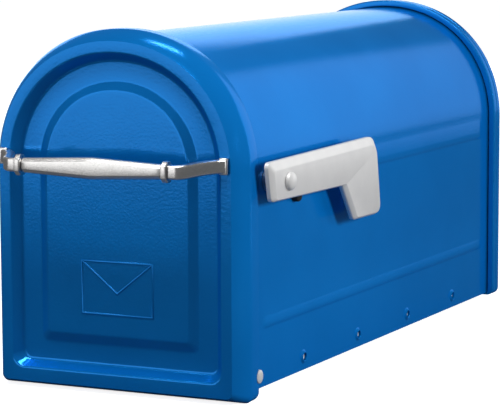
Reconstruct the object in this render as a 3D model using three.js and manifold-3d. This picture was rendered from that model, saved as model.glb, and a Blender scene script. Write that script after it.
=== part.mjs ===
// Post-mounted kerbside mailbox: an arched steel body on a floor pan, a pressed drop-down door with a
// cast pull handle, and a swinging signal flag. Millimetres, +Z up, the door faces -Y.
// Pieces are drawn from the door's front face (Y = 0) and the door's lowest edge (Z = 0); the group then
// moves the origin to the middle of the floor pan's flat underside, where the mounting board bears.
import * as THREE from "three";
import { mergeVertices } from "three/addons/utils/BufferGeometryUtils.js";
import Module from "manifold-3d";

const wasm = await Module();
wasm.setup();

// Arch shared by the body, the door and the rear panel.
const ARCH_POWER = 2.07; // 2 is an ellipse, a little more squares the shoulders
const ARCH_RISE = 0.974; // height of the arch over its half width
const ARCH_SEGMENTS = 28;
const SPRING_Z = 170.2; // where the flat sides end

// Body shell.
const BODY_HALF = 101.6;
const SHEET = 0.9;
const BODY_FRONT_Y = 12;
const BODY_REAR_Y = 530;
const BODY_BOTTOM_Z = 6.8;
const SCREW_Z = 17.5;
const SCREW_FIRST_Y = 116.8;
const SCREW_PITCH = 105.6;
const SCREW_COUNT = 4;
const SCREW_RADIUS = 3;
const SCREW_BOSS = { base: 5.4, top: 3.8, height: 1.7 }; // each hole sits in a raised, pressed boss
const RIB_HEIGHT = 0.9;
const RIB_REAR_Y = 508;
const LOWER_RIB = { low: 50, high: 60, frontY: 42 };
const UPPER_RIB = { low: 151.5, high: 170.2, frontY: 122 };

// Floor pan.
const PAN_FRONT_Y = 14;
const PAN_REAR_Y = 526;
const SEAT_Z = 28;
const PAN_SHEET = 1;
const PAN_HALF = 100.4;
const PAN_FLANGE = 18;

// Rear panel.
const RIM_HALF = 108.3;
const RIM_FRONT_Y = 522;
const RIM_REAR_Y = 537;
const RIM_BOTTOM_Z = 5;

// Door.
const DOOR_SHEET = 1;
const RING_HALF = 97.8;
const RING_BOTTOM_Z = 5;
const DOOR_HALF = 106.5;
const BEVEL_DEPTH = 15.5;
const SKIRT_REAR_Y = 28;
const APRON_REAR_Y = 20;
const RECESS_HALF = 89.1;
const RECESS_BOTTOM_Z = 15.5;
const RECESS_DEPTH = 8.2;
const RECESS_DRAFT = 6.2;
const PLATEAU_HALF = 59.8;
const PLATEAU_BOTTOM_Z = 43.5;
const PLATEAU_Y = 4.9;
const PLATEAU_BEVEL = 7.2;

// Door hinge, level with the rivets at the lower front corners.
const HINGE_Y = 32;
const HINGE_Z = 17.3;
const NOTCH_RADIUS = 7.5; // round each rivet, in the door's skirt
const EAR_OUTER_X = 96.8;
const EAR_SHEET = 1.2;
const EAR_RADIUS = 7;

// Pull handle.
const BAR_Y = -30.5;
const BAR_Z = 174.4;
const BAR_HALF = 58.6;
const BAR_DEPTH = 8.6;
const BAR_MID_HEIGHT = 16.2;
const BAR_END_HEIGHT = 10.8;
const COLLAR_X = 61.3;
const COLLAR_THICK = 4.6;
const COLLAR_HEIGHT = 15.6;
const COLLAR_DEPTH = 12;
const FOOT_X = 93;
const ARM_WIDTH = 7;
const ARM_HEIGHT = 10.2;
const ARM_RISE = 0.085; // the arms climb this much per millimetre towards the door

// Signal flag.
const FLAG_Y = 52;
const FLAG_Z = 162;
const FLAG_INNER_X = 114;
const FLAG_OUTER_X = 120;
const STOP_Y = 99.7;
const STOP_Z = 145.7;
const STOP_RADIUS = 5.2;

const GAP = 0.3; // between neighbouring pieces

const BLUE = new THREE.MeshStandardMaterial({ color: 0x1a66ab, roughness: 0.36, metalness: 0.1 });
const NICKEL = new THREE.MeshStandardMaterial({ color: 0xb9b6b0, roughness: 0.32, metalness: 1 });
const ZINC = new THREE.MeshStandardMaterial({ color: 0xb4b8bb, roughness: 0.4, metalness: 1 });
const BLACK = new THREE.MeshStandardMaterial({ color: 0x17181a, roughness: 0.7, metalness: 0 });
const FERRITE = new THREE.MeshStandardMaterial({ color: 0x2c2c2e, roughness: 0.6, metalness: 0.2 });

const mailbox = new THREE.Group();
mailbox.name = "mailbox";
const pieces = new THREE.Group();
pieces.position.set(0, -(PAN_FRONT_Y + PAN_REAR_Y) / 2, -SEAT_Z);
mailbox.add(pieces);

// ---- solids ----

function solid(geometry) {
  const bare = geometry.clone();
  bare.deleteAttribute("normal");
  bare.deleteAttribute("uv");
  bare.clearGroups();
  const merged = mergeVertices(bare, 1e-4);
  return new wasm.Manifold(
    new wasm.Mesh({
      numProp: 3,
      vertProperties: new Float32Array(merged.attributes.position.array),
      triVerts: new Uint32Array(merged.index.array),
    }),
  );
}

function place(name, body, material) {
  const mesh = body.getMesh();
  const geometry = new THREE.BufferGeometry();
  geometry.setAttribute("position", new THREE.BufferAttribute(mesh.vertProperties, 3));
  geometry.setIndex(new THREE.BufferAttribute(mesh.triVerts, 1));
  geometry.computeVertexNormals();
  const part = new THREE.Mesh(geometry, material);
  part.name = name;
  pieces.add(part);
}

function box(x0, x1, y0, y1, z0, z1) {
  const geometry = new THREE.BoxGeometry(x1 - x0, y1 - y0, z1 - z0);
  geometry.translate((x0 + x1) / 2, (y0 + y1) / 2, (z0 + z1) / 2);
  return solid(geometry);
}

// A cylinder along X (or Y) between two stations.
function rodX(x0, x1, y, z, radius, sides = 20) {
  const geometry = new THREE.CylinderGeometry(radius, radius, x1 - x0, sides);
  geometry.rotateZ(Math.PI / 2);
  geometry.translate((x0 + x1) / 2, y, z);
  return solid(geometry);
}

function rodY(x, y0, y1, z, radius, sides = 16) {
  const geometry = new THREE.CylinderGeometry(radius, radius, y1 - y0, sides);
  geometry.translate(x, (y0 + y1) / 2, z);
  return solid(geometry);
}

// A turned piece: profile of [radius, station] pairs that starts and ends on the axis, axis along X.
function turnedX(profile, x, y, z, sign = 1, sides = 24) {
  const points = profile.map(([radius, station]) => new THREE.Vector2(radius, station));
  const geometry = new THREE.LatheGeometry(points, sides);
  geometry.rotateZ(sign > 0 ? -Math.PI / 2 : Math.PI / 2);
  geometry.translate(x, y, z);
  return solid(geometry);
}

function turnedY(profile, x, y, z, sides = 20) {
  const points = profile.map(([radius, station]) => new THREE.Vector2(radius, station));
  const geometry = new THREE.LatheGeometry(points, sides);
  geometry.translate(x, y, z);
  return solid(geometry);
}

// A flat outline of [across, up] pairs in the XZ plane, pushed from y0 to y1.
function slabY(outline, y0, y1, options = {}) {
  const shape = new THREE.Shape(outline.map(([x, z]) => new THREE.Vector2(x, z)));
  const geometry = new THREE.ExtrudeGeometry(shape, { depth: y1 - y0, bevelEnabled: false, ...options });
  geometry.rotateX(Math.PI / 2);
  geometry.translate(0, y1, 0);
  return solid(geometry);
}

// A flat outline of [along, up] pairs in the YZ plane, pushed from x0 to x1.
function slabX(outline, x0, x1, options = {}) {
  const shape = new THREE.Shape(outline.map(([y, z]) => new THREE.Vector2(y, z)));
  const geometry = new THREE.ExtrudeGeometry(shape, { depth: x1 - x0, bevelEnabled: false, ...options });
  geometry.rotateX(Math.PI / 2);
  geometry.rotateZ(Math.PI / 2);
  geometry.translate(x0, 0, 0);
  return solid(geometry);
}

// ---- the arch ----

function corner(cx, cz, radius, fromDeg, toDeg, steps = 4) {
  const points = [];
  for (let i = 0; i <= steps; i += 1) {
    const a = THREE.MathUtils.degToRad(fromDeg + ((toDeg - fromDeg) * i) / steps);
    points.push([cx + radius * Math.cos(a), cz + radius * Math.sin(a)]);
  }
  return points;
}

// The arch outline: round-cornered foot, straight sides, flattened top.
function archOutline(half, bottom, radius) {
  const outline = [];
  if (radius > 0) {
    outline.push(...corner(-half + radius, bottom + radius, radius, 180, 270));
    outline.push(...corner(half - radius, bottom + radius, radius, 270, 360));
  } else {
    outline.push([-half, bottom], [half, bottom]);
  }
  const power = 2 / ARCH_POWER;
  for (let i = 0; i <= ARCH_SEGMENTS; i += 1) {
    const a = (Math.PI * i) / ARCH_SEGMENTS;
    const c = Math.cos(a);
    const s = Math.sin(a);
    const x = half * Math.sign(c) * Math.abs(c) ** power;
    outline.push([x, SPRING_Z + half * ARCH_RISE * Math.abs(s) ** power]);
  }
  return outline;
}

function archSolid(half, bottom, radius, y0, y1) {
  return slabY(archOutline(half, bottom, radius), y0, y1);
}

// An arch block with the given outline at capY, growing by `grow` over `rise` towards dir (+1 rear, -1
// front) and then straight on to farY.
function archTaper(half, bottom, radius, capY, farY, grow, rise, steps = 1) {
  const length = Math.abs(farY - capY);
  const dir = Math.sign(farY - capY);
  const options = {
    depth: length * 2,
    bevelEnabled: true,
    bevelThickness: rise,
    bevelSize: grow,
    bevelSegments: steps,
  };
  const middle = capY + dir * (rise + length);
  const block = slabY(archOutline(half, bottom, radius), middle - length, middle + length, options);
  const keep = box(-300, 300, Math.min(capY, farY), Math.max(capY, farY), -100, 400);
  return block.intersect(keep);
}

// ---- body ----

function rib(sign, { low, high, frontY }) {
  const lip = low + 1.2;
  const x = sign * (BODY_HALF - 0.3);
  const outline = [
    [x, low],
    [sign * (BODY_HALF + RIB_HEIGHT), lip],
    [x, high],
  ];
  return slabY(sign > 0 ? outline : outline.reverse(), frontY, RIB_REAR_Y);
}

function screwBoss(sign, y) {
  const profile = [
    [0, BODY_HALF - 0.4],
    [SCREW_BOSS.base + 0.3, BODY_HALF - 0.4],
    [SCREW_BOSS.top, BODY_HALF + SCREW_BOSS.height],
    [0, BODY_HALF + SCREW_BOSS.height],
  ];
  return turnedX(profile, 0, y, SCREW_Z, sign, 20);
}

function bodyShell() {
  let shell = archSolid(BODY_HALF, BODY_BOTTOM_Z, 0, BODY_FRONT_Y, BODY_REAR_Y);
  shell = shell.subtract(archSolid(BODY_HALF - SHEET, -40, 0, BODY_FRONT_Y - 5, BODY_REAR_Y + 5));
  for (const sign of [-1, 1]) {
    shell = shell.add(rib(sign, LOWER_RIB)).add(rib(sign, UPPER_RIB));
    const x0 = sign > 0 ? BODY_HALF - 3 : -BODY_HALF - 3;
    for (let i = 0; i < SCREW_COUNT; i += 1) {
      const y = SCREW_FIRST_Y + SCREW_PITCH * i;
      shell = shell.add(screwBoss(sign, y)).subtract(rodX(x0, x0 + 6, y, SCREW_Z, SCREW_RADIUS));
    }
    shell = shell.subtract(rodX(x0, x0 + 6, HINGE_Y, HINGE_Z, 2.8));
  }
  shell = shell.subtract(rodX(BODY_HALF - 3, BODY_HALF + 3, FLAG_Y, FLAG_Z, 3.3));
  shell = shell.subtract(rodX(BODY_HALF - 3, BODY_HALF + 3, STOP_Y, STOP_Z, 2.3));
  place("body_shell", shell, BLUE);
}

function floorPan() {
  const inner = PAN_HALF - PAN_SHEET;
  let pan = box(-PAN_HALF, PAN_HALF, PAN_FRONT_Y, PAN_REAR_Y, SEAT_Z, SEAT_Z + PAN_SHEET);
  for (const sign of [-1, 1]) {
    const x0 = sign > 0 ? inner : -PAN_HALF;
    const y0 = PAN_FRONT_Y + 16;
    pan = pan.add(box(x0, x0 + PAN_SHEET, y0, PAN_REAR_Y, SEAT_Z, SEAT_Z + PAN_FLANGE));
  }
  pan = pan.add(box(-88, 88, PAN_REAR_Y - PAN_SHEET, PAN_REAR_Y, SEAT_Z, SEAT_Z + PAN_FLANGE));
  pan = pan.add(box(-92, 92, PAN_FRONT_Y, PAN_FRONT_Y + PAN_SHEET, SEAT_Z - 5, SEAT_Z + PAN_SHEET));
  for (const x of [-60, 0, 60]) {
    pan = pan.subtract(rodY(x, PAN_REAR_Y - 4, PAN_REAR_Y + 4, SEAT_Z + 11, 2.3));
  }
  for (const sign of [-1, 1]) {
    for (const y of [60, 270, 480]) {
      const x0 = sign > 0 ? PAN_HALF - 4 : -PAN_HALF - 2;
      pan = pan.subtract(rodX(x0, x0 + 6, y, SEAT_Z + 11, 2.3));
    }
  }
  place("floor_pan", pan, ZINC);
}

// Hoop inside the front edge, with an inward lip that the closed door's bumpers press on.
function frontHoop() {
  const outer = BODY_HALF - SHEET - GAP;
  let hoop = archSolid(outer, SEAT_Z + 22, 0, BODY_FRONT_Y + 0.6, BODY_FRONT_Y + 15);
  const inside = archSolid(outer - 1.2, -40, 0, BODY_FRONT_Y + 1.8, BODY_FRONT_Y + 20);
  hoop = hoop.subtract(inside).subtract(archSolid(92, -40, 0, 0, 60));
  place("front_hoop", hoop, BLUE);
}

function rearPanel() {
  const sheet = DOOR_SHEET;
  let panel = archSolid(RIM_HALF, RIM_BOTTOM_Z, 6, RIM_FRONT_Y, RIM_REAR_Y);
  const front = RIM_FRONT_Y + sheet;
  const back = RIM_REAR_Y - sheet;
  panel = panel.subtract(archSolid(RIM_HALF - sheet, RIM_BOTTOM_Z + sheet, 5, front, back));
  panel = panel.subtract(archSolid(BODY_HALF + 1.3, -20, 0, RIM_FRONT_Y - 2, front + 1));
  const floorY = RIM_REAR_Y - RECESS_DEPTH;
  const half = RECESS_HALF - RECESS_DRAFT;
  const bottom = RECESS_BOTTOM_Z + RECESS_DRAFT + 2;
  const [draft, depth] = [RECESS_DRAFT, RECESS_DEPTH];
  const tray = archTaper(half + sheet, bottom - sheet, 6, floorY - sheet, RIM_REAR_Y, draft, depth);
  const hollow = archTaper(half, bottom, 6, floorY, RIM_REAR_Y + 5, draft, depth);
  panel = panel.add(tray).subtract(hollow);
  for (const x of [-60, 0, 60]) {
    panel = panel.subtract(rodY(x, floorY - 5, floorY + 5, SEAT_Z + 11, 2.3));
  }
  place("rear_panel", panel, BLUE);
}

// Blind rivets: a domed head outside, a shank and an upset end inside.
function rivetX(name, sign, y, z, outerX, innerX, head, shank, material) {
  const profile = [
    [0, innerX - 1.4],
    [shank + 1.3, innerX - 1.4],
    [shank + 1.3, innerX],
    [shank, innerX],
    [shank, outerX],
    [head, outerX],
    [head * 0.93, outerX + 1],
    [head * 0.62, outerX + 2],
    [0, outerX + 2.4],
  ];
  place(name, turnedX(profile, 0, y, z, sign), material);
}

function bodyRivets() {
  const outside = BODY_HALF + GAP;
  const flangeInner = PAN_HALF - PAN_SHEET - GAP;
  for (const [side, sign] of [["left", -1], ["right", 1]]) {
    const behindEar = EAR_OUTER_X - EAR_SHEET - GAP;
    rivetX(`hinge_rivet_${side}`, sign, HINGE_Y, HINGE_Z, outside, behindEar, 4.8, 2.5, ZINC);
    const outer = sign * (BODY_HALF - SHEET - GAP);
    const inner = sign * (EAR_OUTER_X + GAP);
    const [x0, x1] = [Math.min(outer, inner), Math.max(outer, inner)];
    const ring = rodX(x0, x1, HINGE_Y, HINGE_Z, 5.5).subtract(rodX(x0 - 1, x1 + 1, HINGE_Y, HINGE_Z, 2.9));
    place(`hinge_spacer_${side}`, ring, BLACK);
    [60, 270, 480].forEach((y, i) => {
      const profile = [
        [0, flangeInner - 1.2],
        [3.6, flangeInner - 1.2],
        [3.6, flangeInner],
        [2, flangeInner],
        [2, BODY_HALF - SHEET - GAP],
        [0, BODY_HALF - SHEET - GAP],
      ];
      place(`floor_rivet_${side}_${i + 1}`, turnedX(profile, 0, y, SEAT_Z + 11, sign, 16), ZINC);
    });
  }
  [-60, 0, 60].forEach((x, i) => {
    const floorY = RIM_REAR_Y - RECESS_DEPTH;
    const profile = [
      [0, PAN_REAR_Y - PAN_SHEET - GAP - 1.2],
      [3.6, PAN_REAR_Y - PAN_SHEET - GAP - 1.2],
      [3.6, PAN_REAR_Y - PAN_SHEET - GAP],
      [2, PAN_REAR_Y - PAN_SHEET - GAP],
      [2, floorY + GAP],
      [4, floorY + GAP],
      [3.2, floorY + 1.4],
      [0, floorY + 1.9],
    ];
    place(`rear_rivet_${i + 1}`, turnedY(profile, x, 0, SEAT_Z + 11), BLUE);
  });
}

// Magnet catch under the crown of the arch.
function doorCatch() {
  const top = SPRING_Z + (BODY_HALF - SHEET) * ARCH_RISE - 1.6;
  let bracket = box(-11, 11, 29, 52, top - 1.2, top);
  bracket = bracket.add(box(-11, 11, 29, 30.2, 238, top));
  bracket = bracket.subtract(rodY(0, 20, 40, 247, 2.3));
  place("catch_bracket", bracket, ZINC);
  const magnet = box(-10, 10, 13.4, 28.6, 239, 255).subtract(rodY(0, 5, 40, 247, 2.3));
  place("catch_magnet", magnet, FERRITE);
  const screw = [
    [0, 14],
    [2, 14],
    [2, 30.5],
    [4, 30.5],
    [3.4, 32.4],
    [0, 32.9],
  ];
  place("catch_screw", turnedY(screw, 0, 0, 247), ZINC);
}

// ---- door ----

function envelopeRidges() {
  const y0 = PLATEAU_Y - 0.7;
  const y1 = PLATEAU_Y + 0.4;
  const frame = [[-30, 60], [30, 60], [30, 100], [-30, 100]];
  const inner = [[-28.2, 61.8], [28.2, 61.8], [28.2, 98.2], [-28.2, 98.2]];
  const flap = [
    [-29, 98.4],
    [0, 76],
    [29, 98.4],
    [29, 100],
    [27.5, 100],
    [0, 78.6],
    [-27.5, 100],
    [-29, 100],
  ];
  return slabY(frame, y0, y1).subtract(slabY(inner, y0 - 1, y1 + 1)).add(slabY(flap, y0, y1));
}

function doorPan() {
  const t = DOOR_SHEET;
  const lift = box(-300, 300, -5, 60, 0, 400);
  let pan = archTaper(RING_HALF, RING_BOTTOM_Z, 3, 0, SKIRT_REAR_Y, DOOR_HALF - RING_HALF, BEVEL_DEPTH);
  pan = pan.intersect(lift);
  const widen = DOOR_HALF - RING_HALF - 0.5;
  const inner = archTaper(RING_HALF - 0.5, RING_BOTTOM_Z + 0.4, 3, t, 60, widen, BEVEL_DEPTH - 0.4);
  pan = pan.subtract(inner.intersect(box(-300, 300, -5, 80, t, 400)));
  const half = RECESS_HALF - RECESS_DRAFT;
  const bottom = RECESS_BOTTOM_Z + RECESS_DRAFT - 0.9;
  const depth = RECESS_DEPTH;
  const tray = archTaper(half + t, bottom - t, 6, depth + t, 0, RECESS_DRAFT, depth);
  const hollow = archTaper(half, bottom, 6, depth, -5, RECESS_DRAFT, depth);
  pan = pan.add(tray).subtract(hollow);
  const rise = depth - PLATEAU_Y;
  const raised = archTaper(PLATEAU_HALF, PLATEAU_BOTTOM_Z, 2, PLATEAU_Y, depth + 0.5, PLATEAU_BEVEL, rise);
  const spread = PLATEAU_BEVEL - 0.6;
  const back = archTaper(PLATEAU_HALF, PLATEAU_BOTTOM_Z, 2, PLATEAU_Y + t, depth + 5, spread, rise);
  pan = pan.add(raised).subtract(back).add(envelopeRidges());
  pan = pan.subtract(skirtTrim());
  for (const sign of [-1, 1]) {
    pan = pan.subtract(rodY(sign * FOOT_X, -2, 6, BAR_Z - BAR_Y * ARM_RISE, 2.2));
  }
  place("door_pan", pan, BLUE);
}

// What the lower rear of the skirt gives up: the apron's rear strip, a rounded corner and a notch that
// clears each hinge rivet.
function skirtTrim() {
  const far = SKIRT_REAR_Y + 10;
  let trim = box(-300, 300, APRON_REAR_Y, far, -5, 2.5);
  for (const sign of [-1, 1]) {
    const x0 = sign > 0 ? DOOR_HALF - 8 : -DOOR_HALF - 8;
    trim = trim.add(rodX(x0, x0 + 16, HINGE_Y, HINGE_Z, NOTCH_RADIUS, 28));
    const round = [[SKIRT_REAR_Y - 7, -2], [far, -2], [far, 7.5], [SKIRT_REAR_Y, 7.5]];
    for (const [y, z] of corner(SKIRT_REAR_Y - 7, 7.5, 7, 0, -90, 5).slice(1)) round.push([y, z + 0.01]);
    trim = trim.add(slabX(round, x0, x0 + 16));
  }
  return trim;
}

function doorHardware() {
  for (const [side, sign] of [["left", -1], ["right", 1]]) {
    const outer = sign * EAR_OUTER_X;
    const inner = sign * (EAR_OUTER_X - EAR_SHEET);
    const low = HINGE_Z - EAR_RADIUS;
    const high = HINGE_Z + EAR_RADIUS;
    const front = DOOR_SHEET + GAP;
    const outline = [[front, low], ...corner(HINGE_Y, HINGE_Z, EAR_RADIUS, -90, 90, 8), [front, high]];
    let ear = slabX(outline, Math.min(outer, inner), Math.max(outer, inner));
    const flange = sign * 91.2;
    ear = ear.add(box(Math.min(outer, flange), Math.max(outer, flange), front, front + 1.2, low, high));
    ear = ear.subtract(rodX(Math.min(outer, inner) - 2, Math.max(outer, inner) + 2, HINGE_Y, HINGE_Z, 2.8));
    place(`hinge_ear_${side}`, ear, ZINC);
    const a = THREE.MathUtils.degToRad(48);
    const x = sign * 94 * Math.cos(a);
    const z = SPRING_Z + 94 * ARCH_RISE * Math.sin(a);
    place(`door_bumper_${side}`, rodY(x, DOOR_SHEET + GAP, BODY_FRONT_Y + GAP, z, 2.8), BLACK);
  }
  const back = RECESS_DEPTH + DOOR_SHEET + GAP;
  place("strike_plate", box(-13, 13, back, back + 2, 237, 247), ZINC);
}

// ---- handle ----

function bar() {
  const end = BAR_END_HEIGHT / 2 - 1.2;
  const mid = BAR_MID_HEIGHT / 2 - 1.2;
  const half = BAR_HALF - 1.2;
  const outline = [[-half, -end], [0, -mid], [half, -end], [half, end], [0, mid], [-half, end]];
  const raised = outline.map(([x, z]) => [x, BAR_Z + z]);
  const depth = BAR_DEPTH - 2.4;
  const options = { bevelEnabled: true, bevelThickness: 1.2, bevelSize: 1.2, bevelSegments: 1 };
  let piece = slabY(raised, BAR_Y - depth / 2, BAR_Y + depth / 2, options);
  for (const sign of [-1, 1]) {
    const x0 = sign > 0 ? BAR_HALF - 11 : -BAR_HALF - 5;
    piece = piece.subtract(rodX(x0, x0 + 16, BAR_Y, BAR_Z, 2.2, 12));
  }
  place("handle_bar", piece, NICKEL);
}

function collar(side, sign) {
  const h = COLLAR_HEIGHT / 2;
  const d = COLLAR_DEPTH / 2;
  const c = 3.2;
  const ring = [
    [-d, -h + c],
    [-d + c, -h],
    [d - c, -h],
    [d, -h + c],
    [d, h - c],
    [d - c, h],
    [-d + c, h],
    [-d, h - c],
  ];
  const outline = ring.map(([y, z]) => [BAR_Y + y * 0.9, BAR_Z + z * 0.92]);
  const x = sign * COLLAR_X;
  const half = COLLAR_THICK / 2 - 0.8;
  const options = { bevelEnabled: true, bevelThickness: 0.8, bevelSize: 0.6, bevelSegments: 1 };
  let piece = slabX(outline, x - half, x + half, options);
  piece = piece.subtract(rodX(x - 5, x + 5, BAR_Y, BAR_Z, 2.2, 12));
  place(`handle_collar_${side}`, piece, NICKEL);
}

// Constant-width band along a polyline in plan, as a closed outline.
function band(line, width) {
  const left = [];
  const right = [];
  line.forEach(([x, y], i) => {
    const before = line[Math.max(i - 1, 0)];
    const after = line[Math.min(i + 1, line.length - 1)];
    const length = Math.hypot(after[0] - before[0], after[1] - before[1]);
    const nx = (-(after[1] - before[1]) / length) * (width / 2);
    const ny = ((after[0] - before[0]) / length) * (width / 2);
    left.push([x + nx, y + ny]);
    right.push([x - nx, y - ny]);
  });
  return [...left, ...right.reverse()];
}

function arm(side, sign) {
  const start = COLLAR_X + COLLAR_THICK / 2 + GAP;
  const line = [
    [start, BAR_Y],
    [69.5, BAR_Y],
    [73.8, BAR_Y + 3.2],
    [76, BAR_Y + 8],
    [78.6, BAR_Y + 14.5],
    [82.6, BAR_Y + 21.3],
    [88.4, BAR_Y + 27.4],
    [FOOT_X, -0.5],
  ];
  const shape = new THREE.Shape(band(line, ARM_WIDTH - 2).map(([x, y]) => new THREE.Vector2(sign * x, y)));
  const depth = ARM_HEIGHT - 2;
  const options = { depth, bevelEnabled: true, bevelThickness: 1, bevelSize: 1, bevelSegments: 1 };
  const geometry = new THREE.ExtrudeGeometry(shape, options);
  geometry.translate(0, 0, BAR_Z - depth / 2);
  const climb = new THREE.Matrix4().makeShear(0, 0, 0, ARM_RISE, 0, 0);
  climb.setPosition(0, 0, -ARM_RISE * BAR_Y);
  geometry.applyMatrix4(climb);
  const footZ = BAR_Z - BAR_Y * ARM_RISE;
  const x0 = sign * FOOT_X - 3.3;
  let piece = solid(geometry).add(box(x0, x0 + 6.6, -3.4, -GAP, footZ - 6.2, footZ + 6.2));
  piece = piece.intersect(box(-200, 200, -80, -GAP, 0, 300));
  piece = piece.intersect(sign > 0 ? box(start, 200, -80, 0, 0, 300) : box(-200, -start, -80, 0, 0, 300));
  piece = piece.subtract(rodY(sign * FOOT_X, -8, 2, footZ, 2.2));
  const boreStart = sign > 0 ? start - 2 : -start - 5;
  piece = piece.subtract(rodX(boreStart, boreStart + 7, BAR_Y, BAR_Z, 2.2, 12));
  place(`handle_arm_${side}`, piece, NICKEL);
}

function handle() {
  bar();
  for (const [side, sign] of [["left", -1], ["right", 1]]) {
    collar(side, sign);
    arm(side, sign);
    const studX = sign > 0 ? BAR_HALF - 10 : -BAR_HALF - 9;
    place(`handle_stud_${side}`, rodX(studX, studX + 19, BAR_Y, BAR_Z, 1.9, 12), ZINC);
    const footZ = BAR_Z - BAR_Y * ARM_RISE;
    const screw = [
      [0, -7],
      [1.9, -7],
      [1.9, DOOR_SHEET + GAP],
      [3.3, DOOR_SHEET + GAP],
      [3, DOOR_SHEET + GAP + 1.6],
      [0, DOOR_SHEET + GAP + 2.1],
    ];
    place(`handle_screw_${side}`, turnedY(screw, sign * FOOT_X, 0, footZ), ZINC);
  }
}

// ---- flag ----

function flagOutline() {
  const outline = [];
  const rounds = [
    [[20.5, 178.2], [27, 148.6], 4.5],
    [[27, 148.6], [155.5, 147.1], 4.5],
    [[155.5, 147.1], [177.5, 117.7], 4.5],
    [[177.5, 117.7], [228.5, 117.2], 5],
    [[228.5, 117.2], [218, 180.7], 9],
    [[218, 180.7], [20.5, 178.2], 13],
  ];
  rounds.forEach(([start, end], i) => {
    const next = rounds[(i + 1) % rounds.length];
    const radius = next[2];
    const a = new THREE.Vector2(...start);
    const b = new THREE.Vector2(...end);
    const c = new THREE.Vector2(...next[1]);
    const into = b.clone().sub(a).normalize();
    const out = c.clone().sub(b).normalize();
    const turn = Math.acos(THREE.MathUtils.clamp(into.dot(out), -1, 1));
    const reach = radius * Math.tan(turn / 2);
    const from = b.clone().addScaledVector(into, -reach);
    const to = b.clone().addScaledVector(out, reach);
    const curve = new THREE.QuadraticBezierCurve(from, b, to);
    for (const point of curve.getPoints(5)) outline.push([point.x, point.y]);
  });
  return outline;
}

function flag() {
  const bevel = 1.6;
  const options = {
    bevelEnabled: true,
    bevelThickness: bevel,
    bevelSize: bevel,
    bevelOffset: -bevel,
    bevelSegments: 1,
  };
  const thick = FLAG_OUTER_X - FLAG_INNER_X;
  let plate = slabX(flagOutline(), FLAG_INNER_X - thick, FLAG_OUTER_X - bevel, options);
  plate = plate.intersect(box(FLAG_INNER_X, FLAG_OUTER_X + 5, -50, 400, 0, 400));
  plate = plate.subtract(rodX(FLAG_INNER_X - 5, FLAG_OUTER_X + 5, FLAG_Y, FLAG_Z, 3.4));
  place("flag_arm", plate, NICKEL);
  const hub = rodX(104.5, FLAG_INNER_X - GAP, FLAG_Y, FLAG_Z, 6.4);
  place("flag_hub", hub.subtract(rodX(100, 118, FLAG_Y, FLAG_Z, 3.4)), BLACK);
  place("flag_lug", box(103.4, FLAG_INNER_X - GAP, STOP_Y - 6, STOP_Y + 6, STOP_Z + 5.5, STOP_Z + 11), BLACK);
}

function flagMounting() {
  const boss = rodX(BODY_HALF + GAP, 104.2, FLAG_Y, FLAG_Z, 8.3, 28);
  place("flag_boss", boss.subtract(rodX(95, 110, FLAG_Y, FLAG_Z, 3.3)), ZINC);
  const bolt = [
    [0, 90],
    [3, 90],
    [3, FLAG_OUTER_X + GAP],
    [6.9, FLAG_OUTER_X + GAP],
    [6.6, FLAG_OUTER_X + 1.6],
    [5.6, FLAG_OUTER_X + 3.2],
    [3.6, FLAG_OUTER_X + 4.4],
    [0, FLAG_OUTER_X + 4.9],
  ];
  place("flag_bolt", turnedX(bolt, 0, FLAG_Y, FLAG_Z), ZINC);
  const inside = BODY_HALF - SHEET - GAP;
  const washer = rodX(inside - 1.5, inside, FLAG_Y, FLAG_Z, 9);
  place("flag_washer", washer.subtract(rodX(90, 110, FLAG_Y, FLAG_Z, 3.3)), ZINC);
  const nut = rodX(inside - 7.2, inside - 1.8, FLAG_Y, FLAG_Z, 5.8, 6);
  place("flag_nut", nut.subtract(rodX(88, 110, FLAG_Y, FLAG_Z, 3.3)), ZINC);
  const stop = [
    [0, inside - 2.2],
    [3.4, inside - 2.2],
    [3.4, inside],
    [2, inside],
    [2, BODY_HALF + GAP],
    [STOP_RADIUS, BODY_HALF + GAP],
    [STOP_RADIUS, 105.6],
    [STOP_RADIUS - 1.4, 107],
    [0, 107],
  ];
  place("flag_stop", turnedX(stop, 0, STOP_Y, STOP_Z), BLACK);
}

bodyShell();
floorPan();
frontHoop();
rearPanel();
bodyRivets();
doorCatch();
doorPan();
doorHardware();
handle();
flag();
flagMounting();

export default mailbox;
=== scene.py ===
import math

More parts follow.
